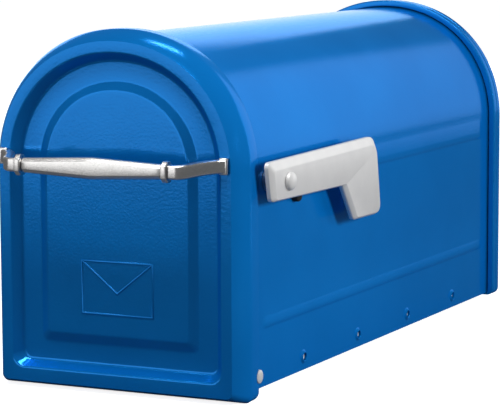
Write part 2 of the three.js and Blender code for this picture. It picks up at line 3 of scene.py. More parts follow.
import bmesh
import bpy
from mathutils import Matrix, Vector

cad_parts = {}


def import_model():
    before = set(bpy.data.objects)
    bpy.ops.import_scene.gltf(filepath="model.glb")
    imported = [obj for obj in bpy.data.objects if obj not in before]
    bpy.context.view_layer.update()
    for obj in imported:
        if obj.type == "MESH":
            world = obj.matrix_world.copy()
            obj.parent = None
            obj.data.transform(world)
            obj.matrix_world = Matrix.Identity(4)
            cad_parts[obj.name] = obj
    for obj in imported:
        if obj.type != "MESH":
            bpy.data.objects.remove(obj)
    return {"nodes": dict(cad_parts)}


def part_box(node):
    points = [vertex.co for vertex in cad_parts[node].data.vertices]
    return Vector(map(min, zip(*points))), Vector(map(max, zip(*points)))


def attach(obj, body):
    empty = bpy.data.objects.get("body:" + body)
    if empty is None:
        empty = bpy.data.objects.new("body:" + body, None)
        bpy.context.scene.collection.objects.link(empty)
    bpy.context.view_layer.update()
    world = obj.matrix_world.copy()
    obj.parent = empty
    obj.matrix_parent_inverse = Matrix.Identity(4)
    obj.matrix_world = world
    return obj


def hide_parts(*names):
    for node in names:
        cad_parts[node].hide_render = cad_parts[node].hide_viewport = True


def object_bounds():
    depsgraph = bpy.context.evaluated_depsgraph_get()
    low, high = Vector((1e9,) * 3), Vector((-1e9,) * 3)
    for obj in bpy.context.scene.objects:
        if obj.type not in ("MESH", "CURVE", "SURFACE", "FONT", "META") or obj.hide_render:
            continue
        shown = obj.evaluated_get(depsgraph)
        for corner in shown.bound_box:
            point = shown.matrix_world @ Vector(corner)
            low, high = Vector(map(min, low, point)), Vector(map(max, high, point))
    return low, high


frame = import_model()
cad_low, cad_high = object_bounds()

# Shapes are drawn in millimetres, as in the CAD: X to the right, Y back from the door's front face and
# Z up from the door's lowest edge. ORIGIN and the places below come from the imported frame.
MM = 0.001
DOOR_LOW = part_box("door_pan")[0]
ORIGIN = Vector((0, DOOR_LOW.y, DOOR_LOW.z))


def node_box(node):
    """A CAD node's lowest and highest corners, in the drawing's millimetres."""
    low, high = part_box(node)
    return (low - ORIGIN) / MM, (high - ORIGIN) / MM


def node_centre(node):
    low, high = node_box(node)
    return (low + high) / 2


# ---- driving sizes, millimetres ----

ARCH_POWER = 2.07  # 2 is an ellipse, a little more squares the shoulders
ARCH_RISE = 0.974  # height of the arch over its half width
SPRING_Z = 170.2  # where the straight sides end
ARCH_STEPS = 96

SHEET = 0.9
GAP = 0.3  # between neighbouring pieces
BODY_HALF = node_box("front_hoop")[1].x + SHEET + GAP
BODY_LOW, BODY_HIGH = node_box("body_shell")
RIB_HEIGHT = 0.9
RIB_REAR_Y = 508
RIB_FADE = 9  # length of a rib's run-out
RIB_FLANK = 3.2  # height of a rib's lower flank
LOWER_RIB = {"low": 50, "high": 60, "front": 42}
UPPER_RIB = {"low": 151.5, "high": 170.2, "front": 122}
SCREW_Z = 17.5
SCREW_FIRST_Y = 116.8
SCREW_PITCH = 105.6
SCREW_COUNT = 4
SCREW_RADIUS = 3

DOOR_HALF = node_box("door_pan")[1].x
RING_HALF = 97.8
RING_BOTTOM = 5
BEVEL_DEPTH = 15.5
BEVEL_BULGE = 0.3  # 0 is a flat bevel and 1 a quarter round
SKIRT_REAR = node_box("door_pan")[1].y
APRON_REAR = 20
RECESS_HALF = 89.1
RECESS_BOTTOM = 15.5
RECESS_DEPTH = 8.2
RECESS_DRAFT = 6.2
PLATEAU_HALF = 59.8
PLATEAU_BOTTOM = 43.5
PLATEAU_Y = 4.9
PLATEAU_BEVEL = 7.2
NOTCH_RADIUS = 7.5  # clears each hinge rivet
SKIRT_CORNER = 7
HINGE = node_centre("hinge_spacer_right")
RIVET_RADIUS = 5.2
RIVET_HEIGHT = 4.4
RIVET_BRIM = 3.2  # straight part of the rivet's head

RIM_LOW, RIM_HIGH = node_box("rear_panel")

BAR = node_centre("handle_bar")
BAR_LOW, BAR_HIGH = node_box("handle_bar")
COLLAR = node_centre("handle_collar_right")
FOOT = node_centre("handle_screw_right")
ARM_WIDTH = 7
ARM_HEIGHT = 10.2
FOOT_WIDTH = 6.6
FOOT_HEIGHT = 12.4
FOOT_DEPTH = 3.4
ARM_RISE = 0.085  # the arms climb this much per millimetre towards the door

FLAG_LOW, FLAG_HIGH = node_box("flag_arm")
FLAG_PIVOT = node_centre("flag_hub")


# ---- meshes ----

def make_piece(name, parts, body, material, replaces=(), crease=32):
    """One mesh piece from (points, faces) parts in drawing millimetres, riding on a CAD body."""
    points = []
    faces = []
    for part_points, part_faces in parts:
        start = len(points)
        points += [ORIGIN + Vector(p) * MM for p in part_points]
        faces += [[start + i for i in face] for face in part_faces]
    mesh = bpy.data.meshes.new(name)
    mesh.from_pydata(points, [], faces)
    clean_mesh(mesh)
    mesh.shade_smooth()
    mesh.set_sharp_from_angle(angle=math.radians(crease))
    mesh.materials.append(material)
    piece = bpy.data.objects.new(name, mesh)
    bpy.context.scene.collection.objects.link(piece)
    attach(piece, body)
    if replaces:
        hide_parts(*replaces)
    return piece


def clean_mesh(mesh):
    """Welds points that coincide, such as a turned piece's poles, and turns every face outwards."""
    work = bmesh.new()
    work.from_mesh(mesh)
    bmesh.ops.remove_doubles(work, verts=work.verts, dist=1e-7)
    bmesh.ops.recalc_face_normals(work, faces=work.faces)
    work.to_mesh(mesh)
    work.free()


def loft(rings, capped=True, looped=False):
    """Faces through closed rings with the same number of points each."""
    count = len(rings[0])
    points = [p for ring in rings for p in ring]
    faces = []
    last = len(rings) if looped else len(rings) - 1
    for r in range(last):
        here = r * count
        there = ((r + 1) % len(rings)) * count
        for i in range(count):
            j = (i + 1) % count
            faces.append([here + i, here + j, there + j, there + i])
    if capped and not looped:
        faces.append(list(range(count)))
        faces.append(list(range(len(points) - count, len(points))))
    return points, faces


def mix(a, b, t):
    return tuple(p + (q - p) * t for p, q in zip(a, b))


def soften(chain, reaches, steps=5, closed=False):
    """Rounds the corners of a chain of points. A corner's bend starts its reach before it."""
    count = len(chain)
    result = []
    for i, corner in enumerate(chain):
        reach = reaches[i] if isinstance(reaches, (list, tuple)) else reaches
        if reach == 0 or (not closed and i in (0, count - 1)):
            result.append(tuple(corner))
            continue
        before = chain[i - 1]
        after = chain[(i + 1) % count]
        start = mix(corner, before, min(0.499, reach / math.dist(corner, before)))
        end = mix(corner, after, min(0.499, reach / math.dist(corner, after)))
        for s in range(steps + 1):
            t = s / steps
            result.append(mix(mix(start, corner, t), mix(corner, end, t), t))
    return result


def turned(profile, centre, axis="x", sign=1, steps=56, looped=False):
    """A turned solid. The profile has (radius, station) points, and stations run along the axis."""
    rings = []
    for radius, station in profile:
        ring = []
        for i in range(steps):
            a = 2 * math.pi * i / steps
            u = radius * math.cos(a)
            v = radius * math.sin(a)
            if axis == "x":
                ring.append((sign * station, centre[1] + u, centre[2] + v))
            else:
                ring.append((centre[0] + u, sign * station, centre[2] + v))
        rings.append(ring)
    return loft(rings, capped=not looped, looped=looped)


def rounded_box(low, high, radius, steps=3):
    work = bmesh.new()
    bmesh.ops.create_cube(work, size=1)
    for vert in work.verts:
        vert.co = [(l + h) / 2 + c * (h - l) for c, l, h in zip(vert.co, low, high)]
    bmesh.ops.bevel(work, geom=work.edges, offset=radius, segments=steps, affect="EDGES", profile=0.5)
    points = [tuple(v.co) for v in work.verts]
    faces = [[v.index for v in f.verts] for f in work.faces]
    work.free()
    return points, faces


# ---- the arch ----

def arch_top(half):
    """Points over the top, from the right springing to the left one."""
    power = 2 / ARCH_POWER
    points = []
    for i in range(ARCH_STEPS + 1):
        c = math.cos(math.pi * i / ARCH_STEPS)
        s = math.sin(math.pi * i / ARCH_STEPS)
        x = half * math.copysign(abs(c) ** power, c)
        points.append((x, SPRING_Z + half * ARCH_RISE * abs(s) ** power))
    return points


SIDE_SHARES = [i * 0.0065 for i in range(1, 20)] + [0.15, 0.2, 0.3, 0.4, 0.5, 0.6, 0.7, 0.8, 0.9]
CORNER_STEPS = 8
FOOT_STEPS = 14


def arch_ring(half, bottom, radius, y):
    """A round-cornered arch outline at one depth. y is a number, or a function of height."""
    right = []
    for i in range(CORNER_STEPS + 1):
        a = math.pi / 2 * i / CORNER_STEPS
        right.append((half - radius + radius * math.sin(a), bottom + radius - radius * math.cos(a)))
    foot = bottom + radius
    for share in SIDE_SHARES:
        right.append((half, foot + (SPRING_Z - foot) * share))
    left = [(-x, z) for x, z in reversed(right)]
    floor = [mix(left[-1], right[0], i / FOOT_STEPS) for i in range(1, FOOT_STEPS)]
    outline = floor + right + arch_top(half) + left
    depth = y if callable(y) else lambda x, z: y
    return [(x, depth(x, z), z) for x, z in outline]


# ---- materials ----

def new_material(name, **values):
    """A material with one Principled shader. Returns it with its node tree and shader."""
    material = bpy.data.materials.new(name)
    material.use_nodes = True
    tree = material.node_tree
    shader = tree.nodes["Principled BSDF"]
    for socket, value in values.items():
        shader.inputs[socket.replace("_", " ")].default_value = value
    return material, tree, shader


def noise(tree, scale, detail=3.0, roughness=0.5):
    """Noise at a scale in features per metre, fixed to the piece."""
    place = tree.nodes.new("ShaderNodeTexCoord")
    texture = tree.nodes.new("ShaderNodeTexNoise")
    texture.inputs["Scale"].default_value = scale
    texture.inputs["Detail"].default_value = detail
    texture.inputs["Roughness"].default_value = roughness
    tree.links.new(place.outputs["Object"], texture.inputs["Vector"])
    return texture.outputs["Fac"]


def colour_between(tree, shader, factor, low, high):
    ramp = tree.nodes.new("ShaderNodeValToRGB")
    ramp.color_ramp.elements[0].position = 0.3
    ramp.color_ramp.elements[1].position = 0.7
    ramp.color_ramp.elements[0].color = (*low, 1)
    ramp.color_ramp.elements[1].color = (*high, 1)
    tree.links.new(factor, ramp.inputs["Fac"])
    tree.links.new(ramp.outputs["Color"], shader.inputs["Base Color"])


def value_between(tree, socket, factor, low, high):
    spread = tree.nodes.new("ShaderNodeMapRange")
    spread.inputs["From Min"].default_value = 0.25
    spread.inputs["From Max"].default_value = 0.75
    spread.inputs["To Min"].default_value = low
    spread.inputs["To Max"].default_value = high
    tree.links.new(factor, spread.inputs["Value"])
    tree.links.new(spread.outputs["Result"], socket)


def bumps(tree, shader, layers):
    """Bump layers of (height, distance in metres, strength), one on another."""
    previous = None
    for height, distance, strength in layers:
        bump = tree.nodes.new("ShaderNodeBump")
        bump.inputs["Distance"].default_value = distance
        bump.inputs["Strength"].default_value = strength
        tree.links.new(height, bump.inputs["Height"])
        if previous:
            tree.links.new(previous, bump.inputs["Normal"])
        previous = bump.outputs["Normal"]
    tree.links.new(previous, shader.inputs["Normal"])
    return previous


def powder_coat():
    """Glossy blue powder coat: a fine orange peel, and a shade that drifts a little."""
    material, tree, shader = new_material(
        "blue_powder_coat", Metallic=0.48, Specular_IOR_Level=0.0, Coat_Weight=0.22, Coat_Roughness=0.1
    )
    shader.inputs["Specular Tint"].default_value = (0.02, 0.6, 1, 1)
    drift = noise(tree, 14, 3)
    colour_between(tree, shader, drift, (0.001, 0.150, 0.49), (0.002, 0.166, 0.53))
    grain = noise(tree, 420, 4)
    value_between(tree, shader.inputs["Roughness"], grain, 0.13, 0.21)
    peel = noise(tree, 520, 2, 0.45)
    fine = noise(tree, 1500, 2)
    normal = bumps(tree, shader, [(peel, 0.00022, 0.32), (fine, 0.00006, 0.3)])
    tree.links.new(normal, shader.inputs["Coat Normal"])
    return material


def satin_metal(name, colour, darker, roughness, metallic):
    """Bead-blasted or silver-lacquered metal: a tight grain in its gloss and height, faintly cloudy."""
    material, tree, shader = new_material(name, Metallic=metallic)
    cloud = noise(tree, 60, 4)
    colour_between(tree, shader, cloud, darker, colour)
    grain = noise(tree, 2600, 3)
    value_between(tree, shader.inputs["Roughness"], grain, roughness - 0.05, roughness + 0.06)
    soft = noise(tree, 700, 2)
    bumps(tree, shader, [(soft, 0.00015, 0.25), (grain, 0.00005, 0.35)])
    return material


def zinc_plate():
    """Bright zinc with the blotches that passivated plate has."""
    material, tree, shader = new_material("zinc_plated_steel", Metallic=1.0)
    blotch = noise(tree, 160, 5, 0.6)
    colour_between(tree, shader, blotch, (0.50, 0.52, 0.53), (0.72, 0.73, 0.72))
    value_between(tree, shader.inputs["Roughness"], blotch, 0.24, 0.42)
    bumps(tree, shader, [(noise(tree, 1800, 3), 0.00005, 0.4)])
    return material


def dull_black(name, low, high, roughness, scale):
    """Moulded rubber, nylon or ferrite: nearly black, with a matt pebbled skin."""
    material, tree, shader = new_material(name, Specular_IOR_Level=0.35)
    skin = noise(tree, scale, 4)
    colour_between(tree, shader, skin, low, high)
    value_between(tree, shader.inputs["Roughness"], skin, roughness - 0.08, roughness + 0.08)
    bumps(tree, shader, [(skin, 0.0001, 0.4)])
    return material


BLUE = powder_coat()
NICKEL = satin_metal("satin_nickel", (0.74, 0.73, 0.72), (0.69, 0.68, 0.67), 0.27, 1.0)
ALUMINIUM = satin_metal("satin_aluminium", (0.68, 0.68, 0.68), (0.645, 0.645, 0.65), 0.45, 0.5)
ZINC = zinc_plate()
RUBBER = dull_black("black_rubber", (0.008, 0.008, 0.009), (0.016, 0.016, 0.017), 0.72, 900)
NYLON = dull_black("black_nylon", (0.010, 0.010, 0.011), (0.020, 0.020, 0.022), 0.5, 1400)
FERRITE = dull_black("ferrite", (0.018, 0.018, 0.020), (0.040, 0.040, 0.042), 0.6, 2200)


# ---- body ----

def rib_profile(z, rib):
    """Share of a rib's height at a level: a lower flank and a longer slope above it."""
    peak = rib["low"] + RIB_FLANK
    if z <= rib["low"] or z >= rib["high"]:
        return 0
    if z < peak:
        t = (z - rib["low"]) / (peak - rib["low"])
    else:
        t = (rib["high"] - z) / (rib["high"] - peak)
        return t * (1.25 - 0.25 * t)
    return t * t * (3 - 2 * t)


def rib_run(y, rib):
    """Share of a rib's height along the body, fading at both ends."""
    t = min((y - rib["front"]) / RIB_FADE, (RIB_REAR_Y - y) / RIB_FADE, 1)
    t = max(t, 0)
    return t * t * (3 - 2 * t)


def rib_levels():
    levels = [BODY_LOW.z + 0.5, 30]
    for rib in (LOWER_RIB, UPPER_RIB):
        low, high = rib["low"], rib["high"]
        levels += [low + step for step in (-0.4, 0, 0.35, 0.7, 1.05, 1.5, 2, RIB_FLANK)]
        slope = high - low - RIB_FLANK
        levels += [low + RIB_FLANK + slope * share for share in (0.25, 0.5, 0.75, 0.9, 1)]
    levels += [90, 120]
    return sorted(level for level in levels if level < SPRING_Z)


def rib_stations():
    stations = [BODY_HIGH.y - 1, 80, 180, 260, 340, 420, 470]
    for rib in (LOWER_RIB, UPPER_RIB):
        stations += [rib["front"] + RIB_FADE * share for share in (0, 0.2, 0.4, 0.6, 0.8, 1)]
    stations += [RIB_REAR_Y - RIB_FADE * share for share in (0, 0.2, 0.4, 0.6, 0.8, 1)]
    return sorted(stations)


def body_outline(y, inset, hem):
    """The body's cross-section at one depth, from the right lower edge over to the left one."""
    half = BODY_HALF - inset
    right = [(half, BODY_LOW.z + hem)]
    for z in rib_levels():
        rise = max(rib_profile(z, rib) * rib_run(y, rib) for rib in (LOWER_RIB, UPPER_RIB))
        right.append((half + RIB_HEIGHT * rise, z))
    left = [(-x, z) for x, z in reversed(right)]
    return right + arch_top(half) + left


def body_shell():
    """The wrapped sheet: its outer face, a rounded hem at each lower edge and its inner face."""
    rings = []
    front = BODY_LOW.y
    ends = [(front, 0.25), (front + 0.25, 0)]
    stations = ends + [(y, 0) for y in rib_stations() if y < BODY_HIGH.y - 0.5]
    stations += [(BODY_HIGH.y - 0.25, 0), (BODY_HIGH.y, 0.25)]
    for y, bevel in stations:
        outer = body_outline(y, bevel, 0.25)
        inner = body_outline(y, SHEET - bevel, 0.25)
        hem_left = [(-BODY_HALF + SHEET / 2, BODY_LOW.z)]
        hem_right = [(BODY_HALF - SHEET / 2, BODY_LOW.z)]
        section = outer + hem_left + list(reversed(inner)) + hem_right
        rings.append([(x, y, z) for x, z in section])
    points, faces = loft(rings, capped=False)
    count = len(rings[0])
    faces += end_strip(count, 0)
    faces += end_strip(count, len(points) - count)
    return points, faces


def end_strip(count, start):
    """Closes the sheet's end between its outer and inner outlines."""
    side = (count - 2) // 2
    faces = []
    for i in range(side - 1):
        j = count - 2 - i
        faces.append([start + i, start + i + 1, start + j - 1, start + j])
    faces.append([start + side - 1, start + side, start + side + 1])
    faces.append([start, start + count - 2, start + count - 1])
    return faces


def screw_boss(sign, y):
    """The raised, dished collar round a screw hole."""
    foot = BODY_HALF - 0.6
    profile = [
        (SCREW_RADIUS, foot),
        (SCREW_RADIUS, BODY_HALF + 1.25),
        (SCREW_RADIUS + 0.12, BODY_HALF + 1.5),
        (SCREW_RADIUS + 0.4, BODY_HALF + 1.66),
        (3.85, BODY_HALF + 1.6),
        (4.25, BODY_HALF + 1.25),
        (4.8, BODY_HALF + 0.45),
        (5.2, BODY_HALF + 0.14),
        (5.7, BODY_HALF + 0.01),
        (5.7, foot),
    ]
    return turned(profile, (0, y, SCREW_Z), sign=sign, steps=48, looped=True)


def cut(piece, cutters):
    """Takes turned cutters out of a piece and keeps its material and body."""
    points = []
    faces = []
    for part_points, part_faces in cutters:
        start = len(points)
        points += [ORIGIN + Vector(p) * MM for p in part_points]
        faces += [[start + i for i in face] for face in part_faces]
    mesh = bpy.data.meshes.new("cutter")
    mesh.from_pydata(points, [], faces)
    clean_mesh(mesh)
    tool = bpy.data.objects.new("cutter", mesh)
    bpy.context.scene.collection.objects.link(tool)
    boolean = piece.modifiers.new("holes", "BOOLEAN")
    boolean.operation = "DIFFERENCE"
    boolean.solver = "EXACT"
    boolean.object = tool
    bpy.context.view_layer.update()
    graph = bpy.context.evaluated_depsgraph_get()
    result = bpy.data.meshes.new_from_object(piece.evaluated_get(graph))
    piece.modifiers.clear()
    piece.data = result
    bpy.data.objects.remove(tool)


def body():
    sheet = make_piece("body_sheet", [body_shell()], "housing", BLUE, ["body_shell"])
    screws = [SCREW_FIRST_Y + SCREW_PITCH * i for i in range(SCREW_COUNT)]
    hole = [(SCREW_RADIUS + 0.6, BODY_HALF - 4), (SCREW_RADIUS + 0.6, BODY_HALF + 4)]
    sides = [(sign, y) for sign in (-1, 1) for y in screws]
    cut(sheet, [turned(hole, (0, y, SCREW_Z), sign=sign, steps=32) for sign, y in sides])
    bosses = [screw_boss(sign, y) for sign, y in sides]
    make_piece("screw_bosses", bosses, "housing", BLUE)


def rear_cap():
    """The rear panel: a rolled rim round the body's end, and a shallow pressed panel inside it."""
    front, rear = RIM_LOW.y, RIM_HIGH.y
    half, bottom = RIM_HIGH.x, RIM_LOW.z
    inner = BODY_HALF + 1.3
    floor = rear - RECESS_DEPTH
    tray = RECESS_HALF - RECESS_DRAFT
    tray_bottom = RECESS_BOTTOM + RECESS_DRAFT + 2
    chain = [
        (tray - 8, tray_bottom + 8, 4, floor),
        (tray, tray_bottom, 6, floor),
        (RECESS_HALF, RECESS_BOTTOM + 2, 10, rear),
        (half, bottom, 6, rear),
        (half, bottom, 6, rear - 7),
        (half - 0.7, bottom + 0.7, 5.5, rear - 7.3),
        (half - 0.7, bottom + 0.7, 5.5, rear - 8.3),
        (half, bottom, 6, rear - 8.6),
        (half, bottom, 6, front),
        (inner, bottom + 1.2, 3, front),
        (inner, bottom + 1.2, 3, rear - 1),
        (RECESS_HALF + 1, RECESS_BOTTOM + 1, 11, rear - 1),
        (tray + 1, tray_bottom - 1, 7, floor - 1),
        (tray - 8, tray_bottom + 8, 4, floor - 1),
    ]
    reaches = [0, 2.5, 2.5, 1.6, 0.4, 0.2, 0.2, 0.4, 1.6, 0.5, 0.5, 2.5, 2.5, 0]
    rings = [arch_ring(*station) for station in soften(chain, reaches)]
    make_piece("rear_cap", [loft(rings)], "housing", BLUE, ["rear_panel"])


# ---- door ----

def skirt_edge(inset):
    """Where the skirt ends at each height: a short apron below, a round corner and the rivet's notch."""
    def depth(x, z):
        if abs(x) < DOOR_HALF - 3:
            return APRON_REAR if z < SPRING_Z / 2 else SKIRT_REAR
        reach = z - HINGE.z
        if abs(reach) < NOTCH_RADIUS:
            notch = HINGE.y - math.sqrt(NOTCH_RADIUS ** 2 - reach ** 2)
            return max(min(notch, SKIRT_REAR), APRON_REAR)
        if z < SKIRT_CORNER:
            drop = SKIRT_CORNER - z
            return SKIRT_REAR - SKIRT_CORNER + math.sqrt(max(SKIRT_CORNER ** 2 - drop ** 2, 1))
        return SKIRT_REAR
    return lambda x, z: depth(x, z) - inset


def bevel_chain(half, flat, bottom, flat_bottom, y, steps=9):
    """Stations from the flat ring out to the skirt: a rounded shoulder that leaves a soft crease."""
    chain = []
    for i in range(steps + 1):
        t = i / steps
        a = math.pi / 2 * t
        out = BEVEL_BULGE * math.sin(a) + (1 - BEVEL_BULGE) * t
        back = BEVEL_BULGE * (1 - math.cos(a)) + (1 - BEVEL_BULGE) * t
        level = flat_bottom + (bottom - flat_bottom) * out
        chain.append((flat + (half - flat) * out, level, 5, y + BEVEL_DEPTH * back))
    return chain


def door_face(inset):
    """Stations from the door's centre out to the skirt. The inner face is inset by the sheet's thickness."""
    tray = RECESS_HALF - RECESS_DRAFT
    tray_bottom = RECESS_BOTTOM + RECESS_DRAFT - 0.9
    foot = PLATEAU_HALF + PLATEAU_BEVEL
    foot_bottom = PLATEAU_BOTTOM - PLATEAU_BEVEL
    chain = [
        (PLATEAU_HALF - 4 - inset, PLATEAU_BOTTOM + 4 + inset, 2, PLATEAU_Y + inset),
        (PLATEAU_HALF - inset, PLATEAU_BOTTOM + inset, 3, PLATEAU_Y + inset),
        (foot - inset, foot_bottom + inset, 5, RECESS_DEPTH + inset),
        (tray + inset, tray_bottom - inset, 6, RECESS_DEPTH + inset),
        (RECESS_HALF + inset, RECESS_BOTTOM - inset, 10, inset),
        (RING_HALF - inset / 2, RING_BOTTOM + inset / 2, 5, inset),
    ]
    stations = soften(chain, [0, 1.6, 1.8, 2.2, 1.5, 0])
    half = DOOR_HALF - inset
    return stations + bevel_chain(half, RING_HALF - inset / 2, inset, RING_BOTTOM + inset / 2, inset)[1:]


def pressed_door():
    start = BEVEL_DEPTH + 2
    outer = [arch_ring(*station) for station in door_face(0)]
    inner = [arch_ring(*station) for station in door_face(1)]
    edge = [
        arch_ring(DOOR_HALF, 0, 6, start),
        arch_ring(DOOR_HALF, 0, 6, skirt_edge(0.6)),
        arch_ring(DOOR_HALF - 0.15, 0.15, 6, skirt_edge(0.15)),
        arch_ring(DOOR_HALF - 0.5, 0.5, 5.6, skirt_edge(0)),
        arch_ring(DOOR_HALF - 0.85, 0.85, 5.3, skirt_edge(0.15)),
        arch_ring(DOOR_HALF - 1, 1, 5, skirt_edge(0.6)),
        arch_ring(DOOR_HALF - 1, 1, 5, start),
    ]
    return loft(outer + edge + list(reversed(inner)))


def relief(path, width, height, base, closed):
    """A raised line with a round back, along a path of (x, z) points on a face at depth base."""
    section = [(-1, 0.35), (-0.8, -0.35), (-0.4, -0.85), (0, -1), (0.4, -0.85), (0.8, -0.35), (1, 0.35)]
    count = len(path)
    rings = []
    for i, (x, z) in enumerate(path):
        before = path[i - 1] if closed or i else path[i]
        after = path[(i + 1) % count] if closed or i < count - 1 else path[i]
        into = Vector((x - before[0], z - before[1])).normalized()
        out = Vector((after[0] - x, after[1] - z)).normalized()
        along = (into + out).normalized()
        side = Vector((-along.y, along.x))
        stretch = 1 / max(0.5, side.dot(Vector((-out.y, out.x)) if out.length else side))
        if into.length == 0 or out.length == 0:
            stretch = 1
        ring = []
        for across, up in section:
            offset = side * (across * width * stretch)
            ring.append((x + offset.x, base + up * height, z + offset.y))
        rings.append(ring)
    return loft(rings, capped=not closed, looped=closed)


def envelope():
    """A plain envelope in relief on the door's raised panel."""
    frame_path = [(-30, 60), (30, 60), (30, 100), (-30, 100)]
    flap = [(-29.4, 99.4), (0, 76), (29.4, 99.4)]
    return [relief(frame_path, 1, 0.7, PLATEAU_Y, True), relief(flap, 1, 0.6, PLATEAU_Y, False)]


def door():
    make_piece("door_panel", [pressed_door()], "door", BLUE, ["door_pan"])
    make_piece("door_envelope_relief", envelope(), "door", BLUE, crease=60)


def dome(radius, height, brim, steps=9):
    """Half of a domed head: (radius, rise) from the brim to the top."""
    profile = [(radius, 0), (radius, brim * 0.7), (radius * 0.985, brim)]
    for i in range(1, steps + 1):
        a = math.pi / 2 * i / steps
        profile.append((radius * 0.985 * math.cos(a), brim + (height - brim) * math.sin(a)))
    return profile


def hinge_rivets():
    for side, sign in (("left", -1), ("right", 1)):
        node = f"hinge_rivet_{side}"
        seat = BODY_HALF + GAP
        head = [(r, seat + rise) for r, rise in dome(RIVET_RADIUS, RIVET_HEIGHT, RIVET_BRIM)]
        shank = [(0, seat - 8), (3.8, seat - 8), (3.8, seat - 6.9), (2.5, seat - 6.9), (2.5, seat)]
        parts = [turned(shank + head, node_centre(node), sign=sign)]
        make_piece(f"hinge_rivet_head_{side}", parts, "housing", ALUMINIUM, [node])


# ---- handle ----

def facet_ring(half_depth, half_height, chamfer, fillet):
    """A chamfered rectangle (depth, height) whose corners are slightly rounded."""
    d, h, c = half_depth, half_height, chamfer
    right = [(d - c, -h), (d, -h + c), (d, h - c), (d - c, h)]
    left = [(-y, z) for y, z in reversed(right)]
    corners = right + left
    return soften(corners, fillet, 3, closed=True)


def handle_bar():
    """The bar, deepest in the middle, with a flat front and chamfered long edges."""
    half = BAR_HIGH.x
    depth = (BAR_HIGH.y - BAR_LOW.y) / 2
    middle = (BAR_HIGH.z - BAR_LOW.z) / 2
    end = middle * 2 / 3
    rings = []
    stations = [(0, 1.1), (0.35, 0.45), (1.1, 0)]
    stations += [(8, 0), (20, 0), (35, 0), (48, 0), (54, 0)]
    left = [(-half + s, inset) for s, inset in stations]
    right = [(-x, inset) for x, inset in reversed(left)]
    for x, inset in left + [(-2.5, 0), (0, 0), (2.5, 0)] + right:
        share = 1 - max(abs(x), 0.8) / half
        height = end + (middle - end) * share - inset
        section = facet_ring(depth - inset, height, 2.7, 0.5)
        rings.append([(x, BAR.y + y, BAR.z + z) for y, z in section])
    return loft(rings)


def handle_collar(side, sign):
    """An eight-sided collar plate with softened edges."""
    low, high = node_box(f"handle_collar_{side}")
    centre = (low + high) / 2
    size = (high - low) / 2
    rings = []
    for x, inset in ((-size.x, 0.7), (-size.x + 0.2, 0.25), (-size.x + 0.7, 0)):
        section = facet_ring(size.y - inset, size.z - inset, 3.4, 0.5)
        rings.append([(centre.x + x, centre.y + y, centre.z + z) for y, z in section])
    mirrored = [[(2 * centre.x - x, y, z) for x, y, z in ring] for ring in reversed(rings)]
    parts = [loft(rings + mirrored)]
    name = f"collar_{side}"
    make_piece(name, parts, "door", NICKEL, [f"handle_collar_{side}"])


def handle_arm(side, sign):
    """A cranked arm from its collar to the foot on the door."""
    start = COLLAR.x + 2.8  # just clear of the collar
    plan = [
        (start, BAR.y),
        (69.5, BAR.y),
        (73.8, BAR.y + 3.2),
        (76, BAR.y + 8),
        (78.6, BAR.y + 14.5),
        (82.6, BAR.y + 21.3),
        (88.4, BAR.y + 27.4),
        (FOOT.x, -0.5),
    ]
    line = soften(plan, [0, 1.2, 1.2, 2.5, 3.2, 4, 2.5, 0], 4)
    rings = []
    for i, (x, y) in enumerate(line):
        before = line[max(i - 1, 0)]
        after = line[min(i + 1, len(line) - 1)]
        along = Vector((after[0] - before[0], after[1] - before[1])).normalized()
        climb = BAR.z + ARM_RISE * (y - BAR.y)
        ring = []
        for across, up in facet_ring(ARM_WIDTH / 2, ARM_HEIGHT / 2, 1.1, 0.5):
            px = x - along.y * across
            py = min(y + along.x * across, -0.35)
            ring.append((sign * px, py, climb + up))
        rings.append(ring)
    foot_z = BAR.z - BAR.y * ARM_RISE
    low = (sign * FOOT.x - FOOT_WIDTH / 2, -FOOT_DEPTH, foot_z - FOOT_HEIGHT / 2)
    high = (sign * FOOT.x + FOOT_WIDTH / 2, -GAP, foot_z + FOOT_HEIGHT / 2)
    parts = [loft(rings), rounded_box(low, high, 0.8)]
    make_piece(f"arm_{side}", parts, "door", NICKEL, [f"handle_arm_{side}"])


def arm_screw(side):
    """The screw from inside the door into an arm's foot."""
    profile = [(0, -3), (1.9, -3), (1.9, 1.3), (3.3, 1.3), (3.3, 1.6), (3, 2.9), (2.4, 3.3), (0, 3.4)]
    screw = turned(profile, node_centre(f"handle_screw_{side}"), axis="y")
    make_piece(f"arm_screw_{side}", [screw], "door", ZINC, [f"handle_screw_{side}"])


def handle():
    make_piece("pull_bar", [handle_bar()], "door", NICKEL, ["handle_bar"])
    for side, sign in (("left", -1), ("right", 1)):
        handle_collar(side, sign)
        handle_arm(side, sign)
        arm_screw(side)


# ---- flag ----

FLAG_CORNERS = [(20.5, 178.2), (27, 148.6), (155.5, 147.1), (177.5, 117.7), (228.5, 117.2), (218, 180.7)]
FLAG_RADII = [4.5, 4.5, 4.5, 5, 9, 13]
FLAG_BEVELS = [5, 1.4, 3.4, 1.8, 1.8, 6.7]  # width of each edge's bevel, the first from corner 1 to 2
FLAG_BEVEL_DEPTH = 2.4


def inset_outline(corners, distances):
    """Moves each edge of a clockwise-from-above outline inwards by its own distance."""
    count = len(corners)
    lines = []
    for i in range(count):
        a = Vector(corners[i])
        b = Vector(corners[(i + 1) % count])
        along = (b - a).normalized()
        inward = Vector((-along.y, along.x))
        lines.append((a + inward * distances[i], along))
    result = []
    for i in range(count):
        (p, u), (q, v) = lines[i - 1], lines[i]
        cross = u.x * v.y - u.y * v.x
        t = ((q.x - p.x) * v.y - (q.y - p.y) * v.x) / cross
        result.append(tuple(p + u * t))
    return result


